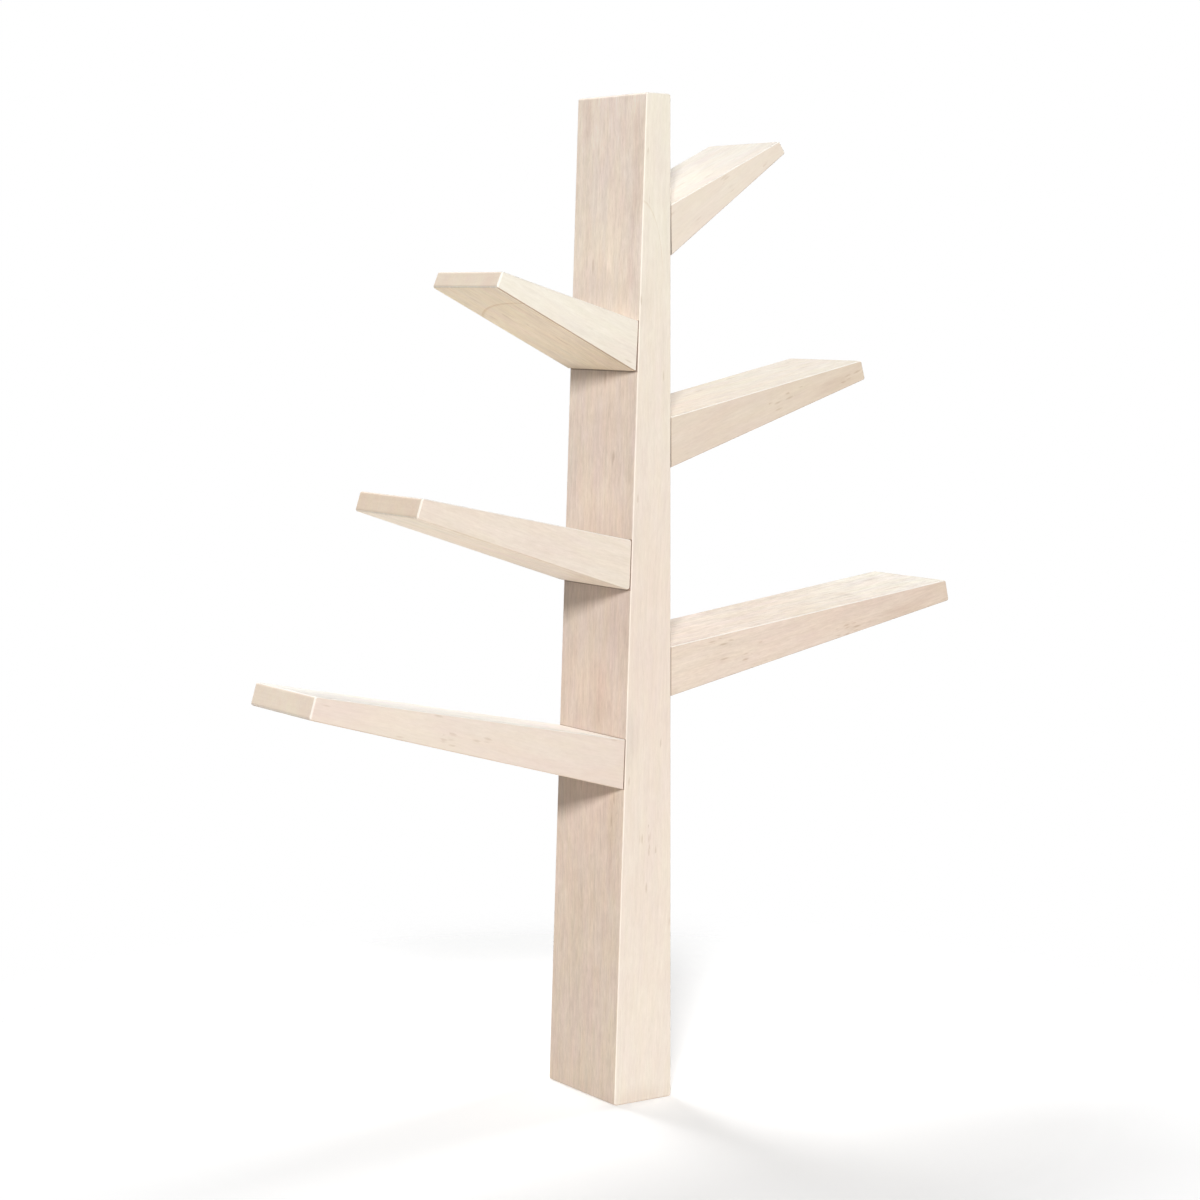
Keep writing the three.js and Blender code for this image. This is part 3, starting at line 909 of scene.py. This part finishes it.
def side_plane(corners, direction):
    """The side of an anticlockwise outline that faces a direction most: a point of it, and its way out."""
    planes = []
    for i, corner in enumerate(corners):
        along = (corners[(i + 1) % 4] - corner).normalized()
        planes.append((Vector((corner.x, 0, corner.y)), Vector((along.y, 0, -along.x))))
    return max(planes, key=lambda plane: plane[1].dot(direction))


def marked_place(grain, node, corners, direction, pixel):
    """Where the photograph shows a mark on a board's side, in the board's own frame."""
    if direction == front:
        point, out = Vector((0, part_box(node)[0].y, 0)), front
    else:
        point, out = side_plane(corners, direction)
    return grain.inverted() @ seen_at(pixel, point, out)


def side_length(corners, i):
    return (corners[(i + 1) % 4] - corners[i]).length


def board_look(node, corners, seed, joint_planes, joined_into):
    """How a board's wood looks. Its grain runs along its longest side, from the foot or root to the tip.
    joined_into says that the board's end meets the joint planes, and not its side."""
    longest = max(range(4), key=lambda i: side_length(corners, i))
    ends = corners[longest], corners[(longest + 1) % 4]
    start, end = sorted(ends, key=lambda corner: corner.y if node == "trunk" else abs(corner.x))
    along = end - start
    grain_way = Vector((along.x, 0, along.y)).normalized()
    grain = place_at((start.x, 0, start.y), grain_way, back.cross(grain_way).normalized(), back)

    def placed(marks):
        """This board's marks, each as its middle in the board's frame, its size, its side and the rest."""
        return [(marked_place(grain, node, corners, direction, pixel), size, direction, *more)
                for marked, direction, pixel, size, *more in marks if marked == node]

    return SimpleNamespace(
        grain=grain,
        length=along.length,
        seed=seed,
        tones=tones[node],
        figure=figures.get(node, plain_figure),
        edge_line=edge_lines.get(node, plain_edge_line),
        flecks=placed(fleck_marks),
        stains=placed(stain_and_shade_marks),
        dusty=placed(painted_shade_marks),
        growth_lines=placed(growth_marks),
        joint_planes=joint_planes,
        joined_into=joined_into,
    )


def make_board(node, cutters, shaping=None):
    points = node_points(node)
    low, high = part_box(node)
    corners = sharp_corners(points[:, (0, 2)])
    radii, easings = shaping(node, corners) if shaping else ([outline_radius] * 4, [edge_easing] * 4)
    board = eased_panel(f"{node}_board", rounded(corners, radii, easings), low.y, high.y)
    return cut_away(board, cutters), corners


def branch_shaping(node, corners):
    """A branch's corner radii and edge easings. The tip's side, which is the shortest, is sanded rounder than
    the others. The root's, across from it, is cut sharper to meet the trunk."""
    tip = min(range(4), key=lambda i: side_length(corners, i))
    root = (tip + 2) % 4
    at_root = root_radii.get(node, plain_root_radius)
    radii = [at_root if i in (root, (root + 1) % 4) else outline_radius for i in range(4)]
    easings = [edge_easing] * 4
    easings[tip] = tip_easing
    easings[root] = root_easing
    return radii, easings


def pocket_cutter(joint):
    """The pocket in a branch's back, with the outline that its floor has in CAD."""
    node = f"branch_{joint}"
    points = node_points(node)
    floor_y = joint_place("hanger_bolt", joint).translation.y - pocket_past_bolt
    on_floor = points[np.abs(points[:, 1] - floor_y) < pocket_floor_reach]
    outline = rounded(sharp_corners(on_floor[:, (0, 2)]), [pocket_corner_radius] * 4, [0] * 4)
    return prism(f"cut_pocket_{joint}", outline, floor_y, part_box(node)[1].y + cut_overrun)


def plate_cutters(place):
    """Cutters for a keyhole plate's seat in the trunk: its recess, the room for a wall screw's head, and the
    bores of its two screws."""
    low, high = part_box(f"keyhole_plate_{place}")
    middle_z = (low.z + high.z) / 2
    width, length = high.x - low.x, high.z - low.z
    back_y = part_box("trunk")[1].y + cut_overrun
    floor_y = low.y - fit_gap
    seat_width, seat_length = width + 2 * fit_gap, length + 2 * fit_gap
    space_length = keyhole_slot_length + head_space_width
    cutters = [
        prism(f"cut_recess_{place}", capsule(seat_width, seat_length, middle_z), floor_y, back_y),
        prism(f"cut_head_space_{place}", capsule(head_space_width, space_length, middle_z),
              floor_y - head_space_depth, back_y),
    ]
    for end in ("high", "low"):
        node, seat, start, head, _ = plate_screw(end, place)
        cutters.append(rod(f"cut_{node}", seat, start - fit_gap, head, screw_shank_radius + fit_gap))
    return cutters


# Hardware

def threaded(radius, depth, pitch, start, stop, point=0):
    """A function that gives a V thread's radius at a distance along its axis and an angle round it. The
    thread may start with a point of some length."""
    def at(along, angle):
        phase = (along / pitch - angle / (2 * math.pi)) % 1
        runout = min(1, max(0, (along - start) / pitch), max(0, (stop - along) / pitch))
        narrowing = min(1, max(tip_share, (along - start) / point)) if point else 1
        return (radius - depth * runout * abs(2 * phase - 1)) * narrowing
    return at


def levels(start, stop, pitch):
    count = max(1, round((stop - start) / pitch * thread_steps_per_turn))
    return [start + (stop - start) * step / count for step in range(count + 1)]


def make_bolt(joint):
    """A hanger bolt: wood thread with a point in the trunk, machine thread through the branch's end wall."""
    node, place, start, end, _ = joint_piece("hanger_bolt", joint)
    shoulder = start + wood_thread_length
    wood = threaded(bolt_radius, wood_depth, wood_pitch, start, shoulder, point=bolt_radius)
    machine = threaded(bolt_radius, machine_depth, machine_pitch, shoulder, end + machine_pitch)

    def thread_at(along, radius, angle):
        full = wood(along, angle) if along < shoulder else machine(along, angle)
        return along, min(full, radius - max(0, along - (end - bolt_chamfer)))

    along = levels(start, shoulder, wood_pitch) + levels(shoulder, end, machine_pitch)[1:]
    bolt = turned(f"{node}_threaded", [(x, bolt_radius) for x in along], place, thread_angles, thread_at)
    finished(bolt, zinc, node)


def make_nut(joint):
    """A hexagon nut with chamfered corners on both faces and a countersunk bore."""
    node, place, start, end, _ = joint_piece("nut", joint)
    flat = nut_across_flats / 2
    corner = flat / math.cos(math.pi / 6)

    def hexagonal(along, radius, angle):
        if radius < corner:
            return along, radius
        off_middle = (angle + math.pi / 6) % (math.pi / 3) - math.pi / 6
        radius = flat / math.cos(off_middle)
        depth = nut_corner_chamfer * (radius - flat) / (corner - flat)
        return along + (depth if along == start else -depth), radius

    section = [
        (start + nut_bore_chamfer, bore_radius),
        (start, bore_radius + nut_bore_chamfer),
        (start, flat),
        (start, corner),
        (end, corner),
        (end, flat),
        (end, bore_radius + nut_bore_chamfer),
        (end - nut_bore_chamfer, bore_radius),
    ]
    nut = turned(f"{node}_hexagon", section, place, nut_steps, hexagonal, looped=True)
    finished(nut, zinc, node)


def make_washer(joint):
    """A stamped washer: rounded on the side that met the die, sharp on the other."""
    node, place, start, end, radius = joint_piece("washer", joint)
    section = [
        (start, bore_radius),
        (start, radius),
        (end - washer_rounding, radius),
        (end, radius - washer_rounding),
        (end, bore_radius + washer_rounding),
        (end - washer_rounding, bore_radius),
    ]
    finished(turned(f"{node}_stamped", section, place, looped=True), zinc, node)


def make_dowel(part, joint):
    """A fluted beech dowel with chamfered ends."""
    node, place, start, end, radius = joint_piece(part, joint)
    profile = [
        (start, radius - dowel_chamfer),
        (start + dowel_chamfer, radius),
        (end - dowel_chamfer, radius),
        (end, radius - dowel_chamfer),
    ]

    def fluted(along, ring_radius, angle):
        return along, ring_radius - flute_depth * max(0, math.cos(flute_count * angle))

    dowel = turned(f"{node}_fluted", profile, place, flute_count * flute_steps, fluted)
    finished(dowel, beech, node)


def make_plate(place):
    """A keyhole plate: round ends, a keyhole and two countersunk screw holes."""
    node = f"keyhole_plate_{place}"
    low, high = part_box(node)
    middle_z = (low.z + high.z) / 2
    width = high.x - low.x
    plate = eased_panel(f"{node}_pressed", capsule(width, high.z - low.z, middle_z), low.y, high.y)
    entry = place_along(Vector((0, 0, middle_z - keyhole_slot_length / 2)), back)
    front_y, back_y = low.y - cut_overrun, high.y + cut_overrun
    slot = capsule(2 * keyhole_slot_radius, keyhole_slot_length + 2 * keyhole_slot_radius, middle_z)
    cutters = [
        rod(f"cut_entry_{place}", entry, front_y, back_y, keyhole_entry_radius),
        prism(f"cut_slot_{place}", slot, front_y, back_y),
    ]
    for end in ("high", "low"):
        screw, seat, _, head, _ = plate_screw(end, place)
        cutters.append(turned(f"cut_{screw}", [
            (head - screw_head_height - cut_overrun, screw_shank_radius + fit_gap),
            (head - screw_head_height, screw_shank_radius + fit_gap),
            (head, screw_head_radius + fit_gap),
            (head + cut_overrun, screw_head_radius + fit_gap),
        ], seat))
    finished(cut_away(plate, cutters), plate_zinc, node)


def recess_cutter(name, head, place):
    """One arm of a cross recess, narrower at its floor."""
    rings = []
    for along, share in ((head - recess_depth, recess_floor_share), (head + cut_overrun, 1)):
        y, z = recess_span / 2 * share, recess_width / 2
        rings.append([Vector((along, sy * y, sz * z)) for sy, sz in ((1, 1), (-1, 1), (-1, -1), (1, -1))])
    arm = stacked(name, rings)
    arm.data.transform(place)
    return arm


def make_screw(end, place):
    """A countersunk screw with a cross recess, a slightly domed head and a wood thread."""
    node, seat, start, head, _ = plate_screw(end, place)
    neck = head - screw_head_height
    thread = threaded(screw_shank_radius, screw_depth, screw_pitch, start, neck, point=screw_point)

    def thread_at(along, radius, angle):
        return along, radius if along >= neck else thread(along, angle)

    profile = [(x, screw_shank_radius) for x in levels(start, neck, screw_pitch)]
    profile += [(head - screw_head_dome, screw_head_radius), (head, screw_head_radius * screw_dome_share)]
    screw = turned(f"{node}_cross_head", profile, seat, thread_angles, thread_at)
    quarter_turn = seat @ Matrix.Rotation(math.pi / 2, 4, "X")
    arms = [recess_cutter(f"cut_arm_{number}_{node}", head, turn)
            for number, turn in enumerate((seat, quarter_turn))]
    finished(cut_away(screw, arms), zinc, node)


# The scene

make_camera()

zinc = zinc_shader("bright_zinc", seed=2.0, tint=(196, 199, 204), roughness=0.26)
plate_zinc = zinc_shader("plate_zinc", seed=8.0, tint=(201, 200, 196), roughness=0.32)
beech = dowel_shader()

trunk_cutters = [cutter for joint in joints for cutter in joint_cutters(joint)]
trunk_cutters += [cutter for place in plates for cutter in plate_cutters(place)]
trunk, trunk_corners = make_board("trunk", trunk_cutters)
joint_planes = []
for number, joint in enumerate(joints):
    node = f"branch_{joint}"
    point, out = side_plane(trunk_corners, right if joint.startswith("right") else left)
    board, corners = make_board(node, joint_cutters(joint) + [pocket_cutter(joint)], branch_shaping)
    root = sorted(corners, key=lambda corner: abs(corner.x))[:2]
    joint_plane = (point, out, min(root[0].y, root[1].y), max(root[0].y, root[1].y))
    joint_planes.append(joint_plane)
    seed = first_branch_seed + branch_seed_step * number
    look = board_look(node, corners, seed, [joint_plane], joined_into=True)
    finished(board, wood_shader(f"washed_pine_{joint}", look), node)
trunk_look = board_look("trunk", trunk_corners, trunk_seed, joint_planes, joined_into=False)
finished(trunk, wood_shader("washed_pine_trunk", trunk_look), "trunk")

for joint in joints:
    make_bolt(joint)
    make_nut(joint)
    make_washer(joint)
    make_dowel("dowel_front", joint)
    make_dowel("dowel_rear", joint)
for place in plates:
    make_plate(place)
    make_screw("high", place)
    make_screw("low", place)


# Stage: a white floor that fades into the white around it, soft lamps and an even sky

def make_floor():
    """A pale floor that holds the shadow. It is seen only round the object and from above. It casts no shadow
    itself, and it is open under the foot, so that some light reaches the foot's end."""
    s = Shader("studio_floor")
    s.tree.nodes.remove(s.surface)
    seen = s.seen()
    diffuse = s.node("ShaderNodeBsdfDiffuse", s.mix(seen, floor_bounce_color, floor_seen_color)).outputs[0]
    glow = s.node("ShaderNodeEmission", (1, 1, 1, 1), s.times(seen, floor_glow)).outputs[0]
    lit = s.node("ShaderNodeAddShader", diffuse, glow).outputs[0]
    far = s.ramp(s.vector("LENGTH", s.on_object), floor_fade_start, floor_fade_end)
    backfacing = s.node("ShaderNodeNewGeometry").outputs["Backfacing"]
    hidden = s.times(seen, s.math("MAXIMUM", far, backfacing))
    clear = s.node("ShaderNodeBsdfTransparent").outputs[0]
    shown = s.node("ShaderNodeMixShader", hidden, lit, clear).outputs[0]
    s.feed(s.tree.nodes["Material Output"].inputs, {"Surface": shown})
    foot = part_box("trunk")[1]
    corners = []
    for x, y in ((floor_size / 2, floor_size / 2), (foot.x - floor_under_foot, foot.y - floor_under_foot)):
        corners += [(-x, -y, 0), (x, -y, 0), (x, y, 0), (-x, y, 0)]
    floor = new_object("floor", corners, [(0, 1, 5, 4), (1, 2, 6, 5), (2, 3, 7, 6), (3, 0, 4, 7)])
    if floor.data.polygons[0].normal.z < 0:
        floor.data.flip_normals()
    floor.data.materials.append(s.material)
    floor.visible_shadow = False


def make_world():
    """An even sky, and plain white where the camera, a gloss or a glass looks at it."""
    world = bpy.data.worlds.new("studio")
    bpy.context.scene.world = world
    world.use_nodes = True
    n = Nodes(world.node_tree)
    strength = n.ramp(n.seen(), 0.0, 1.0, sky_strength, 1.0)
    n.feed(n.tree.nodes["Background"].inputs, {"Color": (1, 1, 1, 1), "Strength": strength})


def make_lamp(name, azimuth, elevation, power, width, height, in_gloss):
    """A soft box that looks at the middle of the shelf. Azimuth 0 is in front, 90 on the right."""
    low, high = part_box("trunk")
    middle = (low + high) / 2
    a, e = math.radians(azimuth), math.radians(elevation)
    away = Vector((math.sin(a) * math.cos(e), -math.cos(a) * math.cos(e), math.sin(e)))
    data = bpy.data.lights.new(name, "AREA")
    data.shape = "RECTANGLE"
    data.size, data.size_y = width, height
    data.energy = power
    lamp = linked(name, data)
    lamp.location = middle + away * lamp_distance
    lamp.rotation_euler = away.to_track_quat("Z", "Y").to_euler()
    lamp.visible_glossy = in_gloss


make_floor()
make_world()
for lamp in lamps:
    make_lamp(*lamp)
bpy.context.scene.view_settings.view_transform = "Standard"
